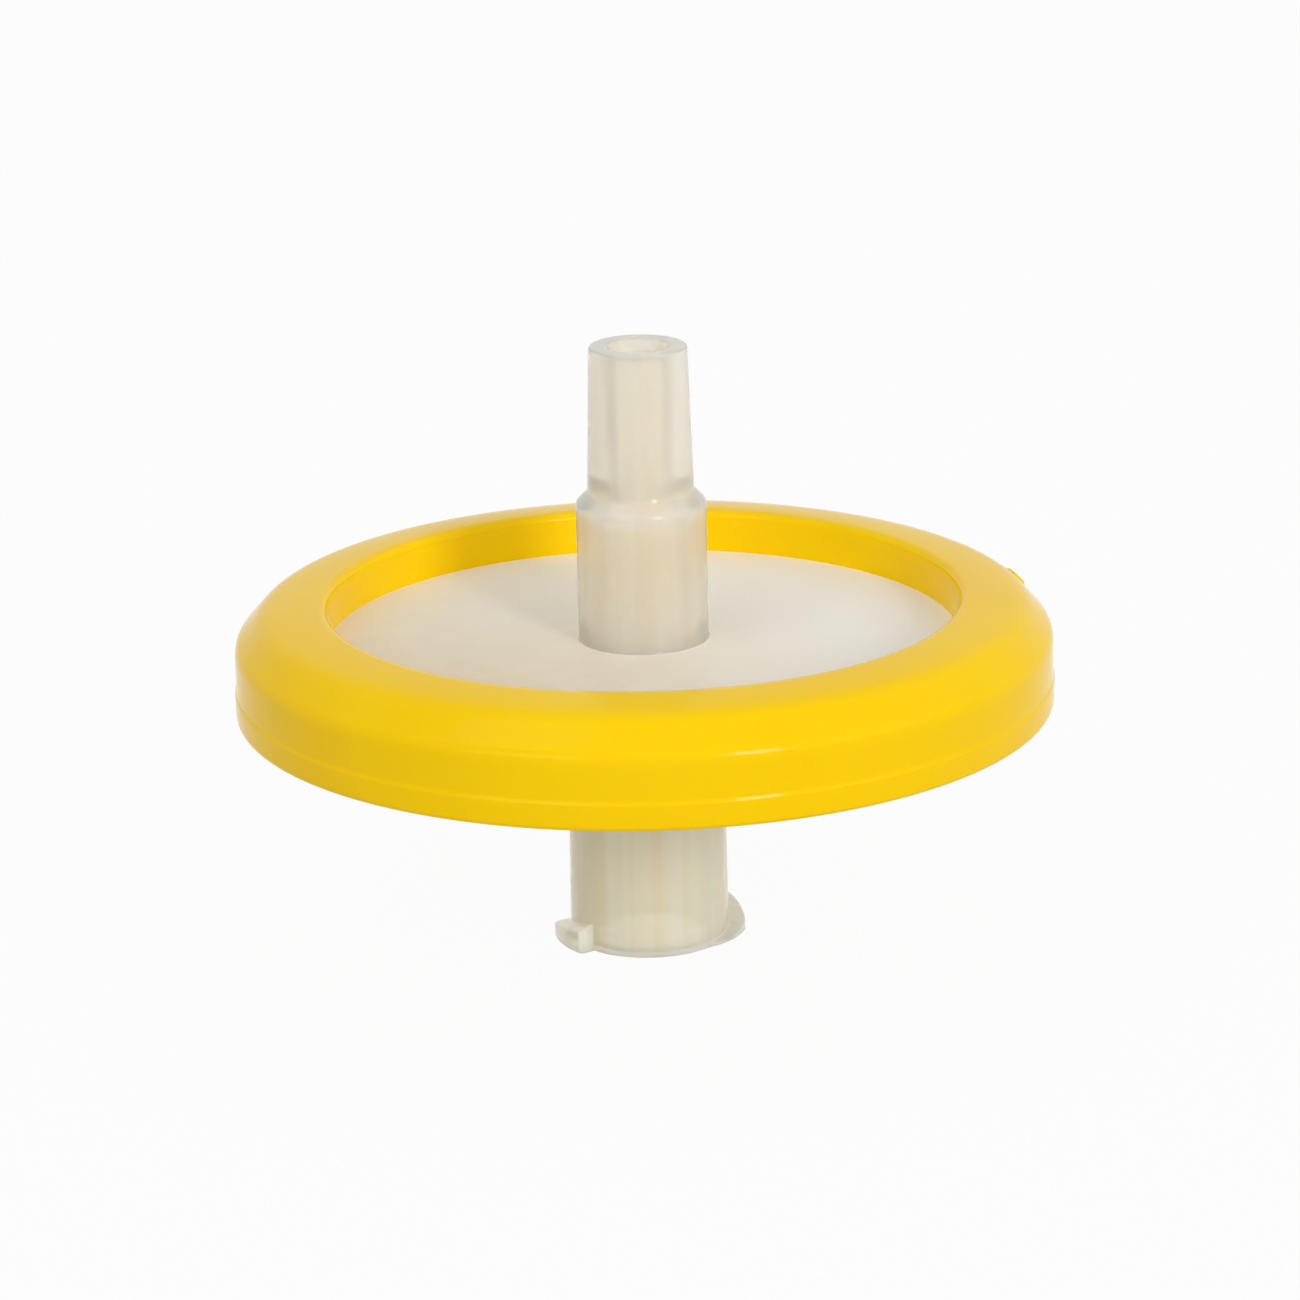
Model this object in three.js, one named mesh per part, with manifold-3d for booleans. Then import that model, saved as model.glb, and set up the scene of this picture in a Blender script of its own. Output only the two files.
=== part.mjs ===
// Syringe filter: two moulded housings clamp a membrane, and a coloured ring is moulded over their rims.
// Millimetres, +Z up. The origin is the centre of the inlet's end face and +Z runs to the outlet's tip.
import * as THREE from "three";
import { mergeVertices } from "three/addons/utils/BufferGeometryUtils.js";
import Module from "manifold-3d";

const wasm = await Module();
wasm.setup();

// ---- Driving dimensions ----

// Overmoulded ring
const ringDiameter = 33;
const ringWall = 1.7; // outside the housings' flanges
const lipWidth = 2.1; // how far each lip reaches inwards over the flanges
const upperLipHeight = 1.55; // at its outer edge, above the outlet plate
const upperLipRise = 0.24; // from there to its inner edge
const lowerLipHeight = 0.35; // below the inlet plate
const ringChamferWidth = 1.2;
const ringChamferHeight = 1.25;
const ringPartingHeight = 1.1; // parting line, above the ring's underside
const ringDraft = 0.3; // degrees, both ways from the parting line
const ringEdgeFillet = 0.2;
const gateDiameter = 0.9; // stub left where the ring's mould was filled
const gateHeight = 0.14;
const gateAzimuth = 15.5; // degrees

// Membrane and what holds it
const membraneThickness = 0.15;
const membraneEdgeClearance = 0.1;
const weldWidth = 1.5; // flat land outside the membrane where the housings meet
const clampWidth = 0.6; // rim of the membrane held between them

// Plates
const inletPlateThickness = 0.95;
const outletPlateThickness = 1.15;
const rimStep = 0.25; // the inlet flange is thinner than its plate by this, for the lower lip
const chamberDepth = 0.35; // below the membrane

// Membrane support under the outlet plate
const supportHeight = 0.2; // of the rings, and so the depth of the outlet chamber
const supportPitch = 1.5;
const supportWidth = 0.6;
const firstSupportRadius = 2.6;
const channelCount = 8;
const channelWidth = 0.8;

// Flow spreading ribs on the inlet plate
const spreaderCount = 12;
const spreaderWidth = 0.5;
const spreaderTopGap = 0.1; // left under the membrane
const spreaderEndGap = 0.7; // left open at both ends of a rib for the flow
const shortSpreaderStart = 6.5; // every second rib starts this far out

// Outlet: hub, shoulder and male slip tip
const taper = 0.06; // on the diameter, the taper of both conical fittings
const hubDiameter = 5.24;
const hubHeight = 5.65;
const hubFillet = 0.35;
const shoulderHeight = 0.5;
const tipLength = 5.88;
const tipEndDiameter = 3.93;
const tipEdgeFillet = 0.15;
const tipBoreDiameter = 1.9;
const tipBoreMouth = 2.44;
const tipMouthDepth = 0.4;
const tipBoreTaper = 0.03;
const hubBoreDiameter = 3; // at the membrane, narrowing upwards
const hubBoreTaper = 0.05;
const boreStepHeight = 0.6; // cone from the hub's bore to the tip's

// Inlet: tube with a female conical socket
const tubeLength = 10.36; // end face to the underside of the inlet plate
const tubeEndDiameter = 6.5;
const tubeTaper = 0.019;
const tubeFillet = 0.35;
const socketMouth = 4.3;
const socketLeadIn = 0.15;
const socketDepth = 7.5;
const socketStepHeight = 0.5; // cone from the socket to the passage
const passageDiameter = 2.4;
const endTrim = 0.2; // the tube and lugs are made this much too long and cut flush

// Locking lugs at the inlet's end
const lugCount = 2;
const lugSpan = 7.83; // across both lugs
const lugLead = 5; // rise of their upper faces in one turn
const lugHeight = 0.5; // at the tube, where a lug crosses azimuth 0
const lugFlankAngle = 3; // degrees, fall of the upper face towards the crest
const lugRampStart = -50; // degrees
const lugRampEnd = -4;
const lugEnd = 45;
const lugRampSink = 0.1; // the ramp starts this far under the tube's surface
const lugSteps = 18;

// Fineness of the round surfaces
const turns = 72; // facets around the axis
const filletSteps = 3;

// ---- Places worked out from them ----

const ringRadius = ringDiameter / 2;
const flangeRadius = ringRadius - ringWall;
const openingRadius = flangeRadius - lipWidth;
const pocketRadius = flangeRadius - weldWidth;
const membraneRadius = pocketRadius - membraneEdgeClearance;
const chamberRadius = membraneRadius - clampWidth;

const inletPlateBottom = tubeLength;
const weldPlane = inletPlateBottom + inletPlateThickness;
const membraneTop = weldPlane + membraneThickness;
const outletPlateTop = membraneTop + outletPlateThickness;
const inletChamberFloor = weldPlane - chamberDepth;
const outletChamberRoof = membraneTop + supportHeight;
const flangeBottom = inletPlateBottom + rimStep;
const hubTop = outletPlateTop + hubHeight;
const tipRoot = hubTop + shoulderHeight;
const tipEnd = tipRoot + tipLength;
const ringBottom = inletPlateBottom - lowerLipHeight;
const ringTop = outletPlateTop + upperLipHeight;

const radians = THREE.MathUtils.degToRad;

// ---- Shape helpers ----

// The closed outline through corners [radius, height, fillet], each rounded to its own fillet.
function filletedOutline(corners) {
  const outline = [];
  corners.forEach(([x, y, fillet = 0], i) => {
    const corner = new THREE.Vector2(x, y);
    if (fillet === 0) {
      outline.push(corner);
      return;
    }
    const back = new THREE.Vector2(...corners.at(i - 1)).sub(corner).normalize();
    const onward = new THREE.Vector2(...corners[(i + 1) % corners.length]).sub(corner).normalize();
    const halfAngle = Math.acos(back.dot(onward)) / 2;
    const middle = back.clone().add(onward).normalize();
    const centre = corner.clone().addScaledVector(middle, fillet / Math.sin(halfAngle));
    const from = corner.clone().addScaledVector(back, fillet / Math.tan(halfAngle)).sub(centre);
    const sweep = (2 * halfAngle - Math.PI) * Math.sign(back.cross(onward));
    for (let step = 0; step <= filletSteps; step++) {
      const spoke = from.clone().rotateAround(new THREE.Vector2(), (sweep * step) / filletSteps);
      outline.push(spoke.add(centre));
    }
  });
  return outline;
}

// A closed geometry as a solid that can be joined and cut.
function solidOf(geometry) {
  const bare = geometry.clone();
  bare.deleteAttribute("normal");
  bare.deleteAttribute("uv");
  const merged = mergeVertices(bare, 1e-4);
  const mesh = new wasm.Mesh({
    numProp: 3,
    vertProperties: new Float32Array(merged.attributes.position.array),
    triVerts: new Uint32Array(merged.index.array),
  });
  return new wasm.Manifold(mesh);
}

// A solid turned about +Z from the corners of its half section, given anticlockwise.
function turned(corners) {
  const outline = filletedOutline(corners);
  outline.push(outline[0].clone());
  const geometry = new THREE.LatheGeometry(outline, turns);
  geometry.rotateX(Math.PI / 2);
  return solidOf(geometry);
}

// A solid skinned over sections with equally many points, anticlockwise seen from before the first.
function lofted(sections) {
  const count = sections[0].length;
  const last = (sections.length - 1) * count;
  const index = [];
  for (let start = 0; start < last; start += count) {
    for (let i = 0; i < count; i++) {
      const a = start + i;
      const b = start + ((i + 1) % count);
      index.push(a, b + count, b, a, a + count, b + count);
    }
  }
  for (let i = 1; i < count - 1; i++) {
    index.push(0, i, i + 1);
    index.push(last, last + i + 1, last + i);
  }
  const geometry = new THREE.BufferGeometry().setFromPoints(sections.flat());
  geometry.setIndex(index);
  return solidOf(geometry);
}

// A radial bar that lies along +X between two radii, turned to its azimuth.
function radialBar(innerRadius, outerRadius, width, bottom, top, azimuth) {
  const geometry = new THREE.BoxGeometry(outerRadius - innerRadius, width, top - bottom);
  geometry.translate((innerRadius + outerRadius) / 2, 0, (bottom + top) / 2);
  geometry.rotateZ(azimuth);
  return solidOf(geometry);
}

// A named mesh from a solid.
function piece(name, solid, material) {
  const { numProp, vertProperties, triVerts } = solid.getMesh();
  const geometry = new THREE.BufferGeometry();
  geometry.setAttribute("position", new THREE.BufferAttribute(vertProperties, numProp));
  geometry.setIndex(new THREE.BufferAttribute(triVerts, 1));
  geometry.computeVertexNormals();
  const mesh = new THREE.Mesh(geometry, material);
  mesh.name = name;
  return mesh;
}

// ---- Outlet housing ----

// The plate's underside from the flange inwards: weld land, membrane pocket and support rings.
function outletUnderside() {
  const corners = [
    [pocketRadius, weldPlane],
    [pocketRadius, membraneTop],
    [chamberRadius, membraneTop],
    [chamberRadius, outletChamberRoof],
  ];
  const innermost = firstSupportRadius - supportWidth / 2;
  const rings = Math.floor((chamberRadius - supportWidth - innermost) / supportPitch);
  for (let ring = rings - 1; ring >= 0; ring--) {
    const inner = innermost + ring * supportPitch;
    const outer = inner + supportWidth;
    corners.push([outer, outletChamberRoof], [outer, membraneTop]);
    corners.push([inner, membraneTop], [inner, outletChamberRoof]);
  }
  return corners;
}

// The bore from the tip down to the chamber, in two tapers that meet in a cone.
function outletBore() {
  const mouthBottom = tipEnd - tipMouthDepth;
  const hubBoreTop = hubTop - boreStepHeight;
  const tipBoreLower = tipBoreDiameter - (mouthBottom - hubTop) * tipBoreTaper;
  const hubBoreUpper = hubBoreDiameter - (hubBoreTop - outletChamberRoof) * hubBoreTaper;
  return [
    [tipBoreMouth / 2, tipEnd],
    [tipBoreDiameter / 2, mouthBottom],
    [tipBoreLower / 2, hubTop],
    [hubBoreUpper / 2, hubBoreTop],
    [hubBoreDiameter / 2, outletChamberRoof],
  ];
}

function outletBody() {
  const tipRootDiameter = tipEndDiameter + tipLength * taper;
  const outside = [
    [flangeRadius, weldPlane],
    [flangeRadius, outletPlateTop],
    [hubDiameter / 2, outletPlateTop, hubFillet],
    [hubDiameter / 2, hubTop, ringEdgeFillet],
    [tipRootDiameter / 2, tipRoot],
    [tipEndDiameter / 2, tipEnd, tipEdgeFillet],
  ];
  return turned([...outside, ...outletBore(), ...outletUnderside().reverse()]);
}

// The channels that lead the filtrate through the support rings to the bore.
function outletHousing() {
  let housing = outletBody();
  const overshoot = membraneThickness / 2;
  for (let i = 0; i < channelCount; i++) {
    const azimuth = (2 * Math.PI * i) / channelCount;
    const bottom = membraneTop - overshoot;
    const channel = radialBar(0, chamberRadius, channelWidth, bottom, outletChamberRoof, azimuth);
    housing = housing.subtract(channel);
  }
  return housing;
}

// ---- Inlet housing ----

// The socket, the cone below its floor and the passage, from the chamber down to the mouth.
function inletBore() {
  const socketFloorDiameter = socketMouth - socketDepth * taper;
  return [
    [passageDiameter / 2, inletChamberFloor],
    [passageDiameter / 2, socketDepth + socketStepHeight],
    [socketFloorDiameter / 2, socketDepth],
    [(socketMouth - socketLeadIn * taper) / 2, socketLeadIn],
    [socketMouth / 2 + socketLeadIn + endTrim, -endTrim],
  ];
}

function inletBody() {
  const tubeTopDiameter = tubeEndDiameter - tubeLength * tubeTaper;
  return turned([
    [(tubeEndDiameter + endTrim * tubeTaper) / 2, -endTrim],
    [tubeTopDiameter / 2, inletPlateBottom, tubeFillet],
    [openingRadius, inletPlateBottom],
    [openingRadius, flangeBottom],
    [flangeRadius, flangeBottom],
    [flangeRadius, weldPlane],
    [chamberRadius, weldPlane],
    [chamberRadius, inletChamberFloor],
    ...inletBore(),
  ]);
}

// One locking lug: a ramp that grows out of the tube, with a helical upper face and an abrupt end.
function lug(turn) {
  const tubeRadius = tubeEndDiameter / 2;
  const rootRadius = (tubeRadius + socketMouth / 2) / 2;
  const rampFoot = tubeRadius - lugRampSink;
  const flankSlope = Math.tan(radians(lugFlankAngle));
  const sections = [];
  for (let step = 0; step <= lugSteps; step++) {
    const angle = lugRampStart + ((lugEnd - lugRampStart) * step) / lugSteps;
    const rise = Math.min(1, (angle - lugRampStart) / (lugRampEnd - lugRampStart));
    const crest = rampFoot + (lugSpan / 2 - rampFoot) * rise;
    const heightAtTube = lugHeight + (lugLead * angle) / 360;
    const heightAt = (radius) => heightAtTube - (radius - tubeRadius) * flankSlope;
    const corners = [
      [rootRadius, -endTrim / 2],
      [crest, -endTrim / 2],
      [crest, heightAt(crest)],
      [rootRadius, heightAt(rootRadius)],
    ];
    const azimuth = radians(angle) + turn;
    const section = corners.map(
      ([radius, height]) => new THREE.Vector3(radius * Math.cos(azimuth), radius * Math.sin(azimuth), height),
    );
    sections.push(section);
  }
  return lofted(sections);
}

// The ribs that spread the flow over the chamber's floor, every second one shorter.
function spreaders() {
  const ribs = [];
  const end = chamberRadius - spreaderEndGap;
  const bottom = inletChamberFloor - chamberDepth / 2;
  const top = weldPlane - spreaderTopGap;
  for (let i = 0; i < spreaderCount; i++) {
    const start = i % 2 ? shortSpreaderStart : passageDiameter / 2 + spreaderEndGap;
    const azimuth = (2 * Math.PI * i) / spreaderCount;
    ribs.push(radialBar(start, end, spreaderWidth, bottom, top, azimuth));
  }
  return ribs;
}

// What the tube and its lugs leave below the end face, cut off so that they end flush.
function belowEndFace() {
  const geometry = new THREE.BoxGeometry(2 * lugSpan, 2 * lugSpan, 2 * endTrim);
  geometry.translate(0, 0, -endTrim);
  return solidOf(geometry);
}

function inletHousing() {
  let housing = inletBody();
  for (const rib of spreaders()) {
    housing = housing.add(rib);
  }
  for (let i = 0; i < lugCount; i++) {
    housing = housing.add(lug((2 * Math.PI * i) / lugCount));
  }
  return housing.subtract(belowEndFace());
}

// ---- Membrane ----

function membrane() {
  return turned([
    [0, weldPlane],
    [membraneRadius, weldPlane],
    [membraneRadius, membraneTop],
    [0, membraneTop],
  ]);
}

// ---- Overmoulded ring ----

// A C-shaped section that grips both flanges. Its top rises inwards and its wall is drafted both ways.
function ringBody() {
  const parting = ringBottom + ringPartingHeight;
  const wallTop = ringTop - ringChamferHeight;
  const draftFall = Math.tan(radians(ringDraft));
  const wallTopRadius = ringRadius - (wallTop - parting) * draftFall;
  return turned([
    [openingRadius, ringBottom, ringEdgeFillet / 2],
    [ringRadius - ringPartingHeight * draftFall, ringBottom, ringEdgeFillet],
    [ringRadius, parting],
    [wallTopRadius, wallTop, ringEdgeFillet],
    [ringRadius - ringChamferWidth, ringTop, ringEdgeFillet],
    [openingRadius, ringTop + upperLipRise, ringEdgeFillet],
    [openingRadius, outletPlateTop],
    [flangeRadius, outletPlateTop],
    [flangeRadius, flangeBottom],
    [openingRadius, flangeBottom],
  ]);
}

// The stub stands square on the chamfer, its foot sunk in the ring.
function gateStub() {
  const slope = Math.atan2(ringChamferWidth, ringChamferHeight);
  const foot = gateHeight;
  const geometry = new THREE.CylinderGeometry(gateDiameter / 2, gateDiameter / 2, gateHeight + foot, 20);
  geometry.rotateX(Math.PI / 2);
  geometry.translate(0, 0, (gateHeight - foot) / 2);
  geometry.rotateY(Math.PI / 2 - slope);
  geometry.translate(ringRadius - ringChamferWidth / 2, 0, ringTop - ringChamferHeight / 2);
  geometry.rotateZ(radians(gateAzimuth));
  return solidOf(geometry);
}

function overmouldRing() {
  return ringBody().add(gateStub());
}

// ---- Assembly ----

// Uncoloured polypropylene, milky but clear enough to show what lies behind it.
function naturalPlastic() {
  return new THREE.MeshStandardMaterial({
    color: "#e2d8c4",
    roughness: 0.3,
    metalness: 0,
    transparent: true,
    opacity: 0.6,
  });
}

const membraneWhite = new THREE.MeshStandardMaterial({ color: "#f3f1ea", roughness: 0.9, metalness: 0 });
const glossyYellow = new THREE.MeshStandardMaterial({ color: "#f4c818", roughness: 0.25, metalness: 0 });

const syringeFilter = new THREE.Group();
syringeFilter.add(
  piece("inlet_housing", inletHousing(), naturalPlastic()),
  piece("membrane", membrane(), membraneWhite),
  piece("outlet_housing", outletHousing(), naturalPlastic()),
  piece("overmould_ring", overmouldRing(), glossyYellow),
);

export default syringeFilter;
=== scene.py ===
# Syringe filter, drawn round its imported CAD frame. Metres in Blender; sizes below are in millimetres.
import math
import bpy
import numpy as np
from mathutils import Matrix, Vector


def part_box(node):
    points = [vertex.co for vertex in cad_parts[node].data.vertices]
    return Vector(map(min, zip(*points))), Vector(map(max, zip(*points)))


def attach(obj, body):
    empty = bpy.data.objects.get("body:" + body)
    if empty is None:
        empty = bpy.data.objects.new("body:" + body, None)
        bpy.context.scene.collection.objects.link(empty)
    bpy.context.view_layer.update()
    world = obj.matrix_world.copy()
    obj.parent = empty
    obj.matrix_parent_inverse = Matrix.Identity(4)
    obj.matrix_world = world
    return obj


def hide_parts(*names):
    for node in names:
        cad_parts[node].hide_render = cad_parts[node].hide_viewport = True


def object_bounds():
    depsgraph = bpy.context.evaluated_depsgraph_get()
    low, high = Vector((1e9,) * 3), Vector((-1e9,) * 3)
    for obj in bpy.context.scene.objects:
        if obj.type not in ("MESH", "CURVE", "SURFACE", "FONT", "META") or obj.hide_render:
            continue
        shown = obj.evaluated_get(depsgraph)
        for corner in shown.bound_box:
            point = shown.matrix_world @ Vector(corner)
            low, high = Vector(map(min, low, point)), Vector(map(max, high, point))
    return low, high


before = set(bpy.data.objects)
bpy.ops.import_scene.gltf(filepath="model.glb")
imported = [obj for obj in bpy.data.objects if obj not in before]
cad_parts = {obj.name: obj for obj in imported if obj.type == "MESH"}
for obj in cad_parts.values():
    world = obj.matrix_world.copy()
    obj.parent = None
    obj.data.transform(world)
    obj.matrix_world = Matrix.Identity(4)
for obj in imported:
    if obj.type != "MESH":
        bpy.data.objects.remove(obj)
cadLow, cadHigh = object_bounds()
scene = bpy.context.scene
mm = 0.001
print("frame loaded:", sorted(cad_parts))


def linear(hexColour):
    # sRGB to linear: a channel c is c / 12.92 near black, else ((c + 0.055) / 1.055) to the power 2.4
    channels = [int(hexColour[i:i + 2], 16) / 255 for i in (1, 3, 5)]
    return tuple(c / 12.92 if c <= 0.04045 else ((c + 0.055) / 1.055) ** 2.4 for c in channels) + (1.0,)


def addNode(tree, kind, inputs=None, **settings):
    # settings are the node's own properties; an input takes a value, or a (node, output) pair as a link
    node = tree.nodes.new(kind)
    for key, value in settings.items():
        setattr(node, key, value)
    for key, value in (inputs or {}).items():
        if isinstance(value, tuple) and isinstance(value[0], bpy.types.Node):
            tree.links.new(value[0].outputs[value[1]], node.inputs[key])
        else:
            node.inputs[key].default_value = value
    return node


def newMaterial(name):
    material = bpy.data.materials.new(name)
    material.use_nodes = True
    material.node_tree.nodes.clear()
    return material, material.node_tree


# ring: polypropylene with yellow masterbatch, moulded over the rims in a polished tool, so it is
# glossy, with a faint flow mottle, a weak orange peel and light that spreads a little under the skin
ringPlastic = {
    "colour": "#fdd200",
    "flowColour": "#f8c700",
    "flowSize": 6.0,
    "roughness": 0.12,
    "gloss": 0.08,
    "roughnessSpread": 0.04,
    "peelSize": 0.9,
    "peelDepth": 0.004,
    "ior": 1.49,
    "spread": 0.15,
    "spreadReach": (1.0, 0.6, 0.1),
    "spreadDepth": 0.5,
}


def yellowPolypropylene(p):
    material, tree = newMaterial("moulded_yellow_polypropylene")
    place = addNode(tree, "ShaderNodeTexCoord")
    flow = addNode(tree, "ShaderNodeTexNoise", {
        "Vector": (place, "Object"), "Scale": 1 / (p["flowSize"] * mm), "Detail": 3.0, "Roughness": 0.5})
    peel = addNode(tree, "ShaderNodeTexNoise", {
        "Vector": (place, "Object"), "Scale": 1 / (p["peelSize"] * mm), "Detail": 2.0, "Roughness": 0.4})
    colour = addNode(tree, "ShaderNodeMix", {
        0: (flow, "Fac"), 6: linear(p["colour"]), 7: linear(p["flowColour"])}, data_type="RGBA")
    roughness = addNode(tree, "ShaderNodeMapRange", {
        "Value": (peel, "Fac"), "To Min": p["roughness"] - p["roughnessSpread"],
        "To Max": p["roughness"] + p["roughnessSpread"]})
    bump = addNode(tree, "ShaderNodeBump", {
        "Height": (peel, "Fac"), "Strength": 1.0, "Distance": p["peelDepth"] * mm})
    skin = addNode(tree, "ShaderNodeBsdfPrincipled", {
        "Base Color": (colour, 2), "Roughness": (roughness, "Result"), "Normal": (bump, "Normal"),
        "IOR": p["ior"], "Specular IOR Level": p["gloss"], "Subsurface Weight": p["spread"],
        "Subsurface Radius": p["spreadReach"], "Subsurface Scale": p["spreadDepth"] * mm})
    addNode(tree, "ShaderNodeOutputMaterial", {"Surface": (skin, "BSDF")})
    return material


# housings: polypropylene with no pigment. It is half crystalline, so it is milky and warm: what lies
# behind shows softened, a thick wall is darker and warmer than a thin one, and faint streaks run along
# the melt's flow. The hub and the tubes come from a polished tool; the plates from a finely etched one,
# which leaves them matt: little of what stands round them mirrors in them, and the lower IOR stands for
# that. A plate's colour is painted whiter with distance from a spot at its front-left: painted shade
# there, where the front lip shades the plate, and painted light towards its back right
hubPlastic = {
    "colour": "#faf5eb",
    "clarity": 0.48,
    "milk": 1.0,
    "milkDepth": 1.5,
    "milkReach": (1.0, 0.9, 0.75),
    "roughness": 0.03,
    "roughnessSpread": 0.02,
    "hazeSize": 1.6,
    "rippleSize": 1.1,
    "rippleDepth": 0.002,
    "streakColour": "#f5efe2",
    "streakSize": 0.8,
    "streakLength": 30.0,
    "streakFade": (0.35, 0.65),
    "ior": 1.49,
    "tint": "#f2e3cc",
    "density": 35.0,
}
# plate: its own colour is the painted shade at the front-left spot; away from it the colour is mixed
# towards a white of painted light
platePlastic = dict(
    hubPlastic, colour="#ead7b2", clarity=0.08, milk=0.0, roughness=0.3, rippleSize=0.3,
    streakColour="#e3d1ac", streakSize=1.2, ior=1.15, density=5.0,
    paintedLightColour="#fffef8", paintedShadeSpot=(-9.0, -9.0), paintedLightReach=22.0)
# tube: its colour is painted a little lighter than the hub's, to make up for the shade that the ring
# casts on it
tubePlastic = dict(
    hubPlastic, colour="#fff7e4", streakColour="#fbecd3", clarity=0.3, tint="#f6e0c4", density=20.0)


def naturalPolypropylene(name, p):
    material, tree = newMaterial(name)
    place = addNode(tree, "ShaderNodeTexCoord")
    haze = addNode(tree, "ShaderNodeTexNoise", {
        "Vector": (place, "Object"), "Scale": 1 / (p["hazeSize"] * mm), "Detail": 4.0,
        "Roughness": 0.55})
    ripple = addNode(tree, "ShaderNodeTexNoise", {
        "Vector": (place, "Object"), "Scale": 1 / (p["rippleSize"] * mm), "Detail": 1.0})
    roughness = addNode(tree, "ShaderNodeMapRange", {
        "Value": (haze, "Fac"), "To Min": p["roughness"] - p["roughnessSpread"],
        "To Max": p["roughness"] + p["roughnessSpread"]})
    bump = addNode(tree, "ShaderNodeBump", {
        "Height": (ripple, "Fac"), "Strength": 1.0, "Distance": p["rippleDepth"] * mm})
    along = addNode(tree, "ShaderNodeMapping", {
        "Vector": (place, "Object"), "Scale": (1, 1, p["streakSize"] / p["streakLength"])})
    streak = addNode(tree, "ShaderNodeTexNoise", {
        "Vector": (along, "Vector"), "Scale": 1 / (p["streakSize"] * mm), "Detail": 2.0})
    share = addNode(tree, "ShaderNodeMapRange", {
        "Value": (streak, "Fac"), "From Min": p["streakFade"][0], "From Max": p["streakFade"][1]})
    colour = addNode(tree, "ShaderNodeMix", {
        0: (share, "Result"), 6: linear(p["colour"]), 7: linear(p["streakColour"])}, data_type="RGBA")
    # painted light and shade: the colour is mixed towards a whiter one with distance from a spot at the
    # plate's front-left, darkest as painted shade at that spot
    if "paintedLightColour" in p:
        shift = tuple(-v * mm for v in p["paintedShadeSpot"]) + (0.0,)
        flat = addNode(tree, "ShaderNodeMapping", {
            "Vector": (place, "Object"), "Location": shift, "Scale": (1, 1, 0)})
        away = addNode(tree, "ShaderNodeVectorMath", {0: (flat, "Vector")}, operation="LENGTH")
        paintedLightShare = addNode(tree, "ShaderNodeMapRange", {
            "Value": (away, "Value"), "From Max": p["paintedLightReach"] * mm})
        colour = addNode(tree, "ShaderNodeMix", {
            0: (paintedLightShare, "Result"), 6: (colour, 2), 7: linear(p["paintedLightColour"])}, data_type="RGBA")
    skin = addNode(tree, "ShaderNodeBsdfPrincipled", {
        "Base Color": (colour, 2), "Roughness": (roughness, "Result"), "Normal": (bump, "Normal"),
        "IOR": p["ior"], "Transmission Weight": p["clarity"], "Subsurface Weight": p["milk"],
        "Subsurface Radius": p["milkReach"], "Subsurface Scale": p["milkDepth"] * mm})
    depth = addNode(tree, "ShaderNodeVolumeAbsorption", {
        "Color": linear(p["tint"]), "Density": p["density"]})
    addNode(tree, "ShaderNodeOutputMaterial", {"Surface": (skin, "BSDF"), "Volume": (depth, "Volume")})
    return material


# membrane: cast microporous film, dead matt and white, with a fine grain. Its pores are far too
# small to see, so the grain is drawn at a tenth of a millimetre
membraneFilm = {
    "colour": "#fcf9f2",
    "grainColour": "#f6f2e9",
    "grainSize": 0.1,
    "grainDepth": 0.004,
    "roughness": 0.95,
    "ior": 1.4,
}


def microporousFilm(p):
    material, tree = newMaterial("cast_microporous_film")
    place = addNode(tree, "ShaderNodeTexCoord")
    grain = addNode(tree, "ShaderNodeTexNoise", {
        "Vector": (place, "Object"), "Scale": 1 / (p["grainSize"] * mm), "Detail": 3.0})
    colour = addNode(tree, "ShaderNodeMix", {
        0: (grain, "Fac"), 6: linear(p["colour"]), 7: linear(p["grainColour"])}, data_type="RGBA")
    bump = addNode(tree, "ShaderNodeBump", {
        "Height": (grain, "Fac"), "Strength": 1.0, "Distance": p["grainDepth"] * mm})
    skin = addNode(tree, "ShaderNodeBsdfPrincipled", {
        "Base Color": (colour, 2), "Roughness": p["roughness"], "Normal": (bump, "Normal"),
        "IOR": p["ior"]})
    addNode(tree, "ShaderNodeOutputMaterial", {"Surface": (skin, "BSDF")})
    return material


def columnAzimuths(count, *extra):
    # evenly spaced azimuths round the turn, with more where a feature needs them
    even = np.linspace(0, 2 * math.pi, count, endpoint=False)
    return np.unique(np.round(np.mod(np.concatenate([even, *extra]), 2 * math.pi), 5))


def smoothStep(low, high, value):
    # 0 below low, 1 above high, and t * t * (3 - 2 t) between them
    t = np.clip((value - low) / (high - low), 0, 1)
    return t * t * (3 - 2 * t)


def roundedSection(corners, steps=5, hold=1.5):
    # A closed section through corners (radius, height, setback); each value is one number, or one per
    # column. A corner is rounded by the parabola here + setback * ((1 - t)^2 * back + t^2 * on), where
    # back and on point along its two edges, with a holding point past each end to keep the flats flat.
    columns = max(np.size(v) for corner in corners for v in corner[:2])
    points = np.array([[np.broadcast_to(v, columns) for v in corner[:2]] for corner in corners], float)
    rows = []
    for i, here in enumerate(points):
        setback = corners[i][2] if len(corners[i]) > 2 else 0
        if not np.any(setback):
            rows.append(here[None])
            continue
        back = points[i - 1] - here
        on = points[(i + 1) % len(points)] - here
        back = back / np.maximum(np.hypot(*back), 1e-9)
        on = on / np.maximum(np.hypot(*on), 1e-9)
        t = np.linspace(0, 1, steps + 1)[:, None, None]
        curve = here + setback * ((1 - t) ** 2 * back + t ** 2 * on)
        rows += [(here + hold * setback * back)[None], curve, (here + hold * setback * on)[None]]
    return np.concatenate(rows)


def spread(first, last, count):
    # corners evenly between two points, without the points themselves
    share = np.linspace(0, 1, count + 2)[1:-1]
    return [(first[0] + (last[0] - first[0]) * s, first[1] + (last[1] - first[1]) * s) for s in share]


sharpAngle = 32  # degrees; edges that turn more than this stay crisp


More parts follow.
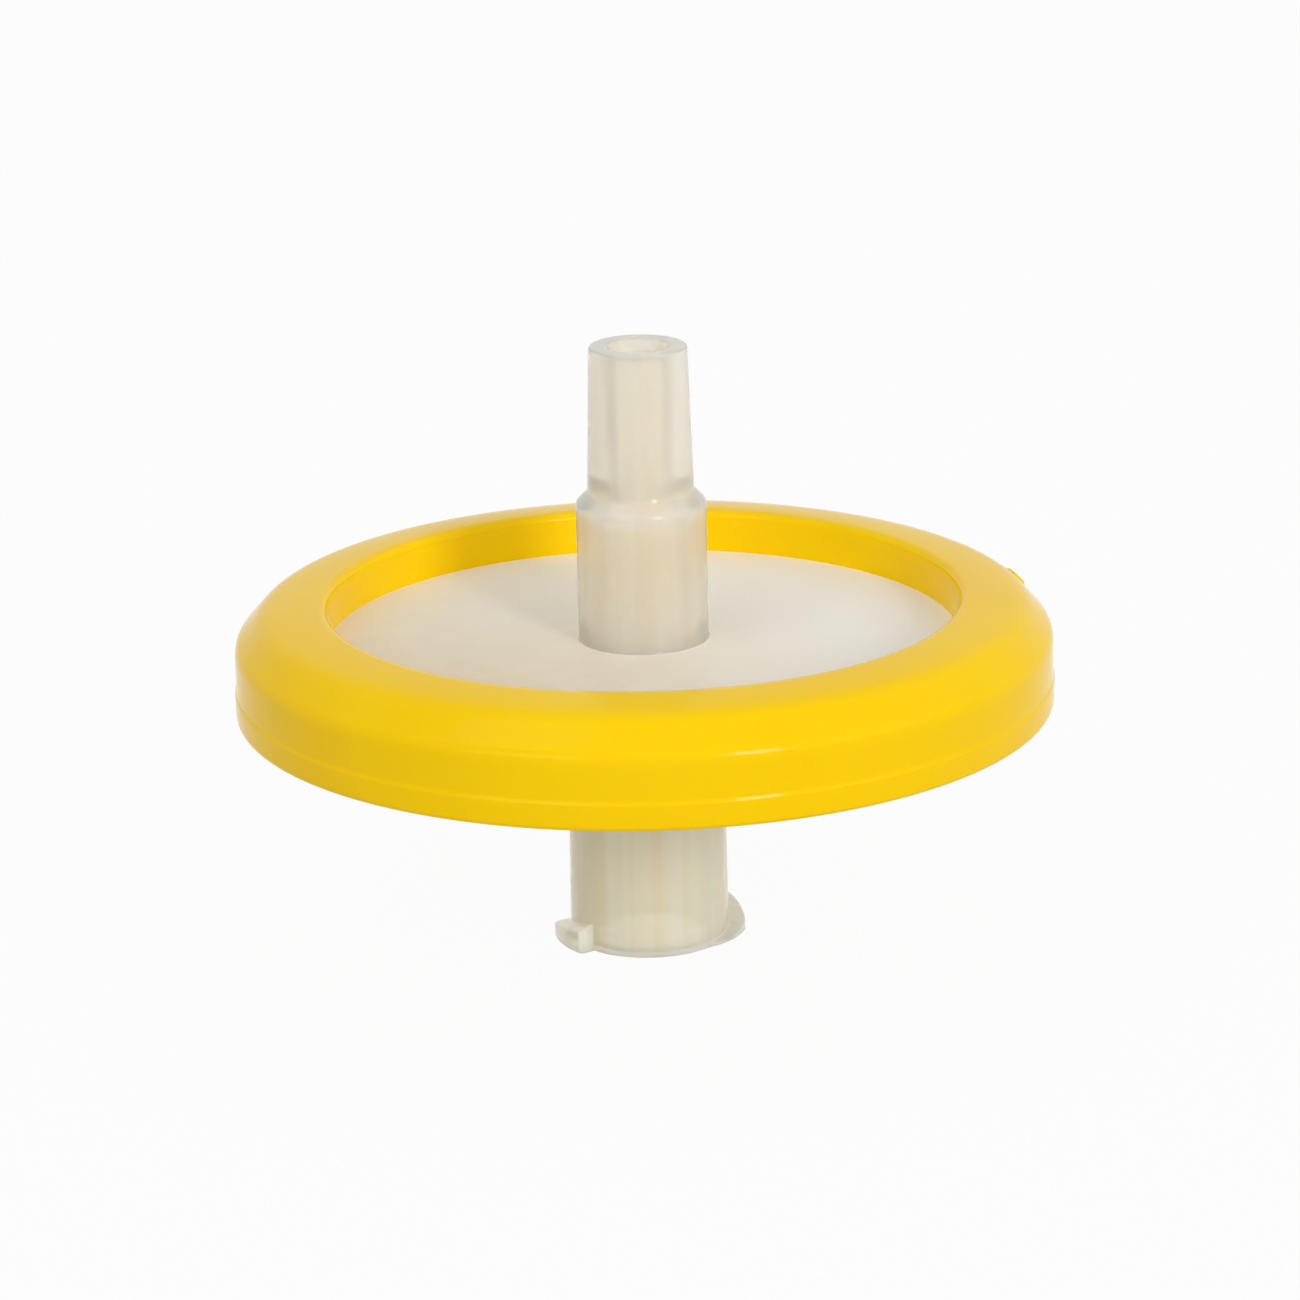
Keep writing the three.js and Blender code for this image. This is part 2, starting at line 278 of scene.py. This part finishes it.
def roundPiece(name, section, azimuths, materials, inPlate=None):
    # The section carried round +Z: x = r cos a, y = r sin a, z = height, closed both ways. A face takes
    # the second material where the heights of both its rows pass the test inPlate.
    radius, height = section[:, 0], section[:, 1]
    points = np.stack([radius * np.cos(azimuths), radius * np.sin(azimuths),
                       np.broadcast_to(height, radius.shape)], axis=-1) * mm
    rows, columns = radius.shape
    index = np.arange(rows * columns).reshape(rows, columns)
    right = np.roll(index, -1, axis=1)
    quads = np.stack([index, right, np.roll(right, -1, axis=0), np.roll(index, -1, axis=0)], axis=-1)
    mesh = bpy.data.meshes.new(name)
    mesh.from_pydata(points.reshape(-1, 3).tolist(), [], quads.reshape(-1, 4).tolist())
    mesh.polygons.foreach_set("use_smooth", np.ones(rows * columns, bool))
    mesh.update()
    mesh.set_sharp_from_angle(angle=math.radians(sharpAngle))
    for material in materials:
        mesh.materials.append(material)
    if inPlate:
        flat = inPlate(height.mean(axis=1))
        second = np.repeat(flat & np.roll(flat, -1), columns)
        mesh.polygons.foreach_set("material_index", second.astype(np.int32))
    piece = bpy.data.objects.new(name, mesh)
    scene.collection.objects.link(piece)
    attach(piece, "root")
    print(name, "-", rows, "x", columns, "grid")
    return piece


yellowSkin = yellowPolypropylene(ringPlastic)
hubSkin = naturalPolypropylene("polished_natural_polypropylene", hubPlastic)
plateSkin = naturalPolypropylene("matt_natural_polypropylene", platePlastic)
tubeSkin = naturalPolypropylene("thick_natural_polypropylene_painted_lighter", tubePlastic)
filmSkin = microporousFilm(membraneFilm)

outletLow, outletHigh = (np.array(c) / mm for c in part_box("outlet_housing"))
inletHigh = np.array(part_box("inlet_housing")[1]) / mm
ringLow, ringHigh = (np.array(c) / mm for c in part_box("overmould_ring"))
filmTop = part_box("membrane")[1][2] / mm
skinGap = 0.01  # between faces that touch in the CAD model, so that light meets one surface at a time

# outlet: plate, hub and slip tip in one moulding, with support rings cut by channels underneath
outlet = {
    "plate": 1.15,
    "plateRim": (13.25, 12.95),
    "hubRadius": 2.62,
    "hubHeight": 5.65,
    "hubFillet": 0.1,
    "shoulder": 0.5,
    "tipRadius": 1.965,
    "tipTaper": 0.03,
    "mouthRadius": 1.22,
    "mouthDepth": 0.4,
    "tipBore": 0.95,
    "tipBoreTaper": 0.015,
    "tipEdge": 0.13,
    "mouthEdge": 0.08,
    "boreEdge": 0.12,
    "bend": 0.15,
    "hubBore": 1.5,
    "hubBoreTaper": 0.025,
    "boreStep": 0.6,
    "boreFoot": 0.1,
    "chamber": 0.2,
    "pocketRadius": 13.3,
    "pocketEdge": 0.04,
    "chamberRadius": 12.6,
    "chamberEdge": 0.05,
    "rings": 7,
    "firstRing": 2.6,
    "ringPitch": 1.5,
    "ringWidth": 0.6,
    "ringSlope": 0.03,
    "channels": 8,
    "channelWidth": 0.8,
    "channelFade": (-0.05, 0.12),
    "plateBorder": 0.03,
    "columns": 384,
}


def outletHousing(p):
    # the section in order: round the rim, over the plate and up to the tip, down the bore, then
    # outwards along the underside
    azimuths = columnAzimuths(p["columns"])
    weld = outletLow[2] + skinGap
    film = filmTop + skinGap
    plateTop = filmTop + p["plate"]
    roof = filmTop + p["chamber"]
    hubTop = plateTop + p["hubHeight"]
    tipRoot = hubTop + p["shoulder"]
    tipEnd = outletHigh[2]
    mouthBottom = tipEnd - p["mouthDepth"]
    rootRadius = p["tipRadius"] + (tipEnd - tipRoot) * p["tipTaper"]
    boreLow = p["tipBore"] - (mouthBottom - hubTop) * p["tipBoreTaper"]
    stepLow = hubTop - p["boreStep"]
    stepRadius = p["hubBore"] - (stepLow - roof) * p["hubBoreTaper"]
    flange = outletHigh[0] - skinGap
    underRing = plateTop - 3 * skinGap
    rimOuter, rimInner = p["plateRim"]
    corners = [
        (flange, weld),
        (flange, underRing),
        (rimOuter, underRing),
        (rimInner, plateTop),
        (p["hubRadius"], plateTop, p["hubFillet"]),
        (p["hubRadius"], hubTop, p["bend"]),
        (rootRadius, tipRoot, p["bend"]),
        (p["tipRadius"], tipEnd, p["tipEdge"]),
        (p["mouthRadius"], tipEnd, p["mouthEdge"]),
        (p["tipBore"], mouthBottom, p["boreEdge"]),
        (boreLow, hubTop, p["bend"]),
        (stepRadius, stepLow, p["bend"]),
        (p["hubBore"], roof, p["boreFoot"]),
    ]
    # a support ring's foot is lifted to the roof where a channel crosses it
    turnPart = 2 * math.pi / p["channels"]
    fromChannel = np.abs(np.mod(azimuths + turnPart / 2, turnPart) - turnPart / 2)
    for i in range(p["rings"]):
        middle = p["firstRing"] + i * p["ringPitch"]
        away = middle * np.sin(np.minimum(fromChannel, math.pi / 2)) - p["channelWidth"] / 2
        foot = roof - (roof - film) * smoothStep(*p["channelFade"], away)
        inner, outer = middle - p["ringWidth"] / 2, middle + p["ringWidth"] / 2
        corners += [(inner, roof), (inner + p["ringSlope"], foot), (outer - p["ringSlope"], foot),
                    (outer, roof)]
    corners += [
        (p["chamberRadius"], roof, p["chamberEdge"]),
        (p["chamberRadius"], film, p["chamberEdge"]),
        (p["pocketRadius"], film, p["pocketEdge"]),
        (p["pocketRadius"], weld, p["pocketEdge"]),
    ]
    return roundPiece("outlet_moulding", roundedSection(corners), azimuths, [hubSkin, plateSkin],
                      lambda height: height < plateTop + p["plateBorder"])


# inlet: tube with two locking lugs and a conical socket, a plate, and ribs that spread the flow
inlet = {
    "plate": 0.95,
    "rimStep": 0.25,
    "chamber": 0.35,
    "chamberRadius": 12.6,
    "openingRadius": 12.7,
    "tubeRadius": 3.25,
    "tubeTaper": 0.0095,
    "tubeFillet": 0.4,
    "socketRadius": 2.15,
    "socketTaper": 0.03,
    "socketDepth": 7.5,
    "socketStep": 0.5,
    "socketEdge": 0.12,
    "leadIn": 0.15,
    "passage": 1.2,
    "passageEdge": 0.08,
    "edge": 0.05,
    "ribs": 12,
    "ribRows": 60,
    "ribFade": 0.05,
    "ribWidth": 0.5,
    "ribTopGap": 0.1,
    "ribEndGap": 0.7,
    "shortRibStart": 6.5,
    "lugs": 2,
    "lugRadius": 3.915,
    "lugLead": 5.0,
    "lugHeight": 0.5,
    "lugFoot": 0.2,
    "lugFlank": 3.0,
    "lugStart": -44.0,
    "lugFull": -4.0,
    "lugEnd": 45.0,
    "lugEndRound": 3.5,
    "lugBend": 0.1,
    "lugEdge": (0.02, 0.1),
    "lugEdgeFull": 0.3,
    "lugHold": 0.05,
    "lugHoldEdge": 0.03,
    "plateBorder": 0.02,
    "columns": 384,
}


def inletHousing(p):
    # the section in order: up the tube, out under the plate and round its rim, in over the ribs, down
    # the passage and out of the socket
    lugTurn = 2 * math.pi / p["lugs"]
    nearEnd = math.radians(p["lugEnd"]) + np.linspace(-0.07, 0.01, 17)  # more columns where a lug ends
    azimuths = columnAzimuths(p["columns"], *[nearEnd + k * lugTurn for k in range(p["lugs"])])
    weld = inletHigh[2] - skinGap
    plateBottom = inletHigh[2] - p["plate"]
    floor = inletHigh[2] - p["chamber"]
    tubeTop = p["tubeRadius"] - plateBottom * p["tubeTaper"]
    socketFloor = p["socketRadius"] - p["socketDepth"] * p["socketTaper"]
    ringFoot = plateBottom + p["rimStep"] + skinGap
    opening, flange = p["openingRadius"] - skinGap, inletHigh[0] - skinGap

    # lug: crest radius over the azimuth, straight up the ramp and a quarter ellipse down at the end
    local = np.degrees(np.mod(azimuths - math.radians(p["lugStart"]), lugTurn)) + p["lugStart"]
    rise = np.clip((local - p["lugStart"]) / (p["lugFull"] - p["lugStart"]), 0, 1)
    inLug = np.sqrt(1 - np.clip((local - p["lugEnd"]) / p["lugEndRound"] + 1, 0, 1) ** 2)
    proud = (p["lugRadius"] - p["tubeRadius"]) * rise * inLug
    crest = p["tubeRadius"] + proud
    along = np.clip(local, p["lugStart"], p["lugEnd"])
    lugTop = np.maximum(p["lugHeight"] + p["lugLead"] * along / 360, p["lugFoot"])
    crestTop = lugTop - np.hypot(proud * math.tan(math.radians(p["lugFlank"])), p["lugBend"])
    thinEdge, fullEdge = p["lugEdge"]  # rounding at the ramp's foot and on a full lug
    rounding = thinEdge + (fullEdge - thinEdge) * smoothStep(0, p["lugEdgeFull"], proud)
    rounding = np.minimum(rounding, crestTop / 4)

    corners = [
        (crest, 0.0, rounding),
        (crest, crestTop, rounding),
        (p["tubeRadius"] - lugTop * p["tubeTaper"], lugTop + p["lugHold"], p["lugHoldEdge"]),
        (tubeTop, plateBottom, p["tubeFillet"]),
        (opening, plateBottom, p["edge"]),
        (opening, ringFoot, p["edge"]),
        (flange, ringFoot, p["edge"]),
        (flange, weld, p["edge"]),
        (p["chamberRadius"], weld, p["edge"]),
        (p["chamberRadius"], floor, p["edge"]),
    ]
    # the floor rises to the ribs: a rib is as high as both its side and its two ends allow
    ribTurn = 2 * math.pi / p["ribs"]
    fromRib = np.abs(np.mod(azimuths + ribTurn / 2, ribTurn) - ribTurn / 2)
    shortRib = np.mod(np.round(azimuths / ribTurn), 2) == 1
    start = np.where(shortRib, p["shortRibStart"], p["passage"] + p["ribEndGap"])
    end = p["chamberRadius"] - p["ribEndGap"]
    ribHeight = p["chamber"] - p["ribTopGap"]
    half, fade = p["ribWidth"] / 2, p["ribFade"]
    for radius in np.linspace(p["chamberRadius"] - 0.12, p["passage"] + 0.15, p["ribRows"]):
        side = 1 - smoothStep(half - fade, half + fade, radius * fromRib)
        ends = smoothStep(start - fade, start + fade, radius)
        ends = ends * (1 - smoothStep(end - fade, end + fade, radius))
        corners.append((radius, floor + ribHeight * side * ends))
    corners += [
        (p["passage"], floor, p["passageEdge"]),
        (p["passage"], p["socketDepth"] + p["socketStep"], p["socketEdge"]),
        (socketFloor, p["socketDepth"], p["socketEdge"]),
        (p["socketRadius"], p["leadIn"], p["edge"]),
        (p["socketRadius"] + p["leadIn"], 0.0, p["edge"]),
    ]
    border = plateBottom - p["tubeFillet"] - p["plateBorder"]
    return roundPiece("inlet_moulding", roundedSection(corners), azimuths, [tubeSkin, plateSkin],
                      lambda height: height > border)


# ring: C section that grips both flanges, drafted both ways from its parting line, where the upper half
# of the mould leaves it a step smaller, with a gate stub on the chamfer. Its top rises inwards, and
# outletStack is from the weld to the top of the outlet plate
ring = {
    "openingRadius": 12.7,
    "flangeRadius": 14.8,
    "chamferWidth": 1.2,
    "chamferHeight": 1.25,
    "parting": 1.1,
    "draft": 0.3,
    "edge": 0.22,
    "wallEdge": 0.35,
    "topEdge": 0.45,
    "lipEdge": 0.4,
    "openingEdge": 0.1,
    "grooveEdge": 0.04,
    "step": 0.05,
    "stepHeight": 0.15,
    "stepRows": (0.0, 0.15, 0.5, 0.85, 1.0),
    "stepHold": 0.8,
    "crownRows": (0.72, 0.64, 0.56, 0.48, 0.4, 0.32),
    "upperLip": 1.55,
    "upperRise": 0.24,
    "outletStack": 1.3,
    "flangeBottom": 0.6,
    "gateAzimuth": 15.5,
    "gateRadius": 0.45,
    "gateSide": (-0.05, 0.03),
    "gateHeight": 0.12,
    "columns": 420,
}


def overmouldRing(p):
    gateTurn = math.radians(p["gateAzimuth"])
    azimuths = columnAzimuths(p["columns"], gateTurn + np.linspace(-0.04, 0.04, 45))
    low, outer = ringLow[2], ringHigh[0]
    plateTop = outletLow[2] + p["outletStack"]
    high = plateTop + p["upperLip"]
    parting = low + p["parting"]
    fall = math.tan(math.radians(p["draft"]))
    wallTop = high - p["chamferHeight"]
    wall = outer - p["step"]
    wallTopRadius = wall - (wallTop - parting) * fall
    chamferTop = (outer - p["chamferWidth"], high)
    opening, flange = p["openingRadius"], p["flangeRadius"]
    # top: height over the chamfer = rise * (1 - s^2), with s from 0 at the opening to 1 at the chamfer
    crown = [(opening + (chamferTop[0] - opening) * s, high + p["upperRise"] * (1 - s * s))
             for s in p["crownRows"]]
    partingStep = [(outer - p["step"] * s, parting + p["stepHeight"] * (s - 0.5)) for s in p["stepRows"]]
    hold = p["stepHold"] * p["stepHeight"]
    # the chamfer's middle has rows close enough to carry the stub; its ends belong to the rounded edges
    chamfer = spread((wallTopRadius, wallTop), chamferTop, 40)[12:-16]
    grooveTop, grooveBottom = plateTop - skinGap, low + p["flangeBottom"] - skinGap
    corners = [
        (opening, low, p["openingEdge"]),
        (outer - p["parting"] * fall, low, p["edge"]),
        (outer, parting - hold),
        *partingStep,
        (wall, parting + hold),
        (wallTopRadius, wallTop, p["wallEdge"]),
        *chamfer,
        (*chamferTop, p["topEdge"]),
        *crown,
        (opening, high + p["upperRise"], p["lipEdge"]),
        (opening, grooveTop),
        (flange, grooveTop),
        (flange, grooveBottom, p["grooveEdge"]),
        (opening, grooveBottom, p["grooveEdge"]),
    ]
    section = roundedSection(corners, steps=8)
    # gate stub: the chamfer stands out along its own normal within the stub's radius
    alongSlope = np.array([-p["chamferWidth"], p["chamferHeight"]])
    alongSlope = alongSlope / np.hypot(*alongSlope)
    outward = np.array([alongSlope[1], -alongSlope[0]])
    centre = np.array([outer - p["chamferWidth"] / 2, high - p["chamferHeight"] / 2])
    offset = section - centre[None, :, None]
    upSlope = offset[:, 0] * alongSlope[0] + offset[:, 1] * alongSlope[1]
    sideways = section[:, 0] * np.sin(azimuths - gateTurn)
    fromCentre = np.hypot(upSlope, sideways)
    foot, top = (p["gateRadius"] + v for v in p["gateSide"])
    lift = p["gateHeight"] * (1 - smoothStep(foot, top, fromCentre))
    onThisSide = np.cos(azimuths - gateTurn) > 0
    onOutside = (section[:, 0] > flange) & (section[:, 1] > wallTop - p["wallEdge"])
    lift = lift * (onThisSide & onOutside)
    section = section + outward[None, :, None] * lift[:, None]
    return roundPiece("ring_moulding", section, azimuths, [yellowSkin])


outletPiece = outletHousing(outlet)
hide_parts("outlet_housing")
inletPiece = inletHousing(inlet)
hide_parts("inlet_housing")
ringPiece = overmouldRing(ring)
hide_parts("overmould_ring")

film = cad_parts["membrane"]
film.data.materials.clear()
film.data.materials.append(filmSkin)
print("pieces made")

# studio: a white table that the part stands on, and a white sky that only the camera, gloss and
# clear plastic see at full strength
studio = {
    "floorSize": 3.0,  # metres
    "floorColour": "#cfcecc",
    "floorGlow": 0.95,
    "horizon": 0.705,
    "zenith": 0.6,
}


def seenDirectly(tree):
    # 1 for a ray from the camera, off gloss or through clear plastic, else 0
    ray = addNode(tree, "ShaderNodeLightPath")
    seen = addNode(tree, "ShaderNodeMath", {0: (ray, "Is Camera Ray"), 1: (ray, "Is Glossy Ray")},
                   operation="MAXIMUM")
    return addNode(tree, "ShaderNodeMath", {0: (seen, 0), 1: (ray, "Is Transmission Ray")},
                   operation="MAXIMUM")


def studioFloor(p):
    half = p["floorSize"] / 2
    corners = [(-half, -half, 0), (half, -half, 0), (half, half, 0), (-half, half, 0)]
    mesh = bpy.data.meshes.new("floor")
    mesh.from_pydata(corners, [], [(0, 1, 2, 3)])
    material, tree = newMaterial("white_table")
    seen = seenDirectly(tree)
    share = addNode(tree, "ShaderNodeMath", {0: (seen, 0), 1: p["floorGlow"]}, operation="MULTIPLY")
    matt = addNode(tree, "ShaderNodeBsdfDiffuse", {"Color": linear(p["floorColour"])})
    glow = addNode(tree, "ShaderNodeEmission", {"Color": linear("#ffffff"), "Strength": 1.0})
    both = addNode(tree, "ShaderNodeMixShader", {0: (share, 0), 1: (matt, 0), 2: (glow, 0)})
    addNode(tree, "ShaderNodeOutputMaterial", {"Surface": (both, 0)})
    mesh.materials.append(material)
    floor = bpy.data.objects.new("floor", mesh)
    scene.collection.objects.link(floor)


def studioSky(p):
    world = bpy.data.worlds.new("studio")
    scene.world = world
    world.use_nodes = True
    tree = world.node_tree
    tree.nodes.clear()
    seen = seenDirectly(tree)
    place = addNode(tree, "ShaderNodeTexCoord")
    height = addNode(tree, "ShaderNodeSeparateXYZ", {0: (place, "Generated")})
    fade = addNode(tree, "ShaderNodeMapRange", {
        "Value": (height, "Z"), "To Min": p["horizon"], "To Max": p["zenith"]})
    strength = addNode(tree, "ShaderNodeMapRange", {
        "Value": (seen, 0), "To Min": (fade, "Result"), "To Max": 1.0})
    sky = addNode(tree, "ShaderNodeBackground", {
        "Color": linear("#ffffff"), "Strength": (strength, "Result")})
    addNode(tree, "ShaderNodeOutputWorld", {"Surface": (sky, 0)})


# lamps: azimuth from +X and elevation in degrees, distance and size in metres, power in watts
lamps = {
    "keySoftbox": {"azimuth": -60, "elevation": 20, "distance": 0.6, "size": (0.12, 0.16), "power": 1.2},
    "sideSoftbox": {"azimuth": -25, "elevation": 20, "distance": 0.7, "size": (0.4, 0.2), "power": 0.28},
    "leftSoftbox": {"azimuth": -122, "elevation": 20, "distance": 0.7, "size": (0.4, 0.15), "power": 0.4},
    "fillSoftbox": {"azimuth": -145, "elevation": 60, "distance": 0.7, "size": (0.3, 0.3), "power": 0.3},
}


def softbox(name, p, target):
    lamp = bpy.data.lights.new(name, "AREA")
    lamp.shape = "RECTANGLE"
    lamp.size, lamp.size_y = p["size"]
    lamp.energy = p["power"]
    a, e = math.radians(p["azimuth"]), math.radians(p["elevation"])
    away = np.array([math.cos(a) * math.cos(e), math.sin(a) * math.cos(e), math.sin(e)])
    box = bpy.data.objects.new(name, lamp)
    box.location = target + away * p["distance"]
    box.rotation_euler = (math.pi / 2 - e, 0, a + math.pi / 2)
    scene.collection.objects.link(box)


# camera: a long lens from a little above, and a slight roll; distance and target in millimetres
view = {
    "elevation": 17.1,
    "roll": 1.21,
    "distance": 190.0,
    "lens": 130.44,
    "target": (0.235, 0.0, 12.02),
}


def placeCamera(p):
    e, roll = math.radians(p["elevation"]), math.radians(p["roll"])
    back = np.array([0, -math.cos(e), math.sin(e)])
    right = np.array([1.0, 0, 0])
    up = np.array([0, math.sin(e), math.cos(e)])
    turnedRight = right * math.cos(roll) - up * math.sin(roll)
    turnedUp = up * math.cos(roll) + right * math.sin(roll)
    place = (np.array(p["target"]) + back * p["distance"]) * mm
    camera = bpy.data.objects.new("camera", bpy.data.cameras.new("camera"))
    camera.data.lens = p["lens"]
    camera.data.sensor_width = 36
    camera.data.clip_start, camera.data.clip_end = 0.01, 10
    matrix = np.identity(4)
    matrix[:3, 0], matrix[:3, 1], matrix[:3, 2], matrix[:3, 3] = turnedRight, turnedUp, back, place
    camera.matrix_world = Matrix(matrix.tolist())
    scene.collection.objects.link(camera)
    scene.camera = camera


studioFloor(studio)
studioSky(studio)
centre = (np.array(cadLow) + np.array(cadHigh)) / 2
for name, settings in lamps.items():
    softbox(name, settings, centre)
placeCamera(view)
scene.view_settings.view_transform = "Standard"
scene.cycles.blur_glossy = 0  # blurred glass would swallow much of the light under the clear plate
print("studio set")
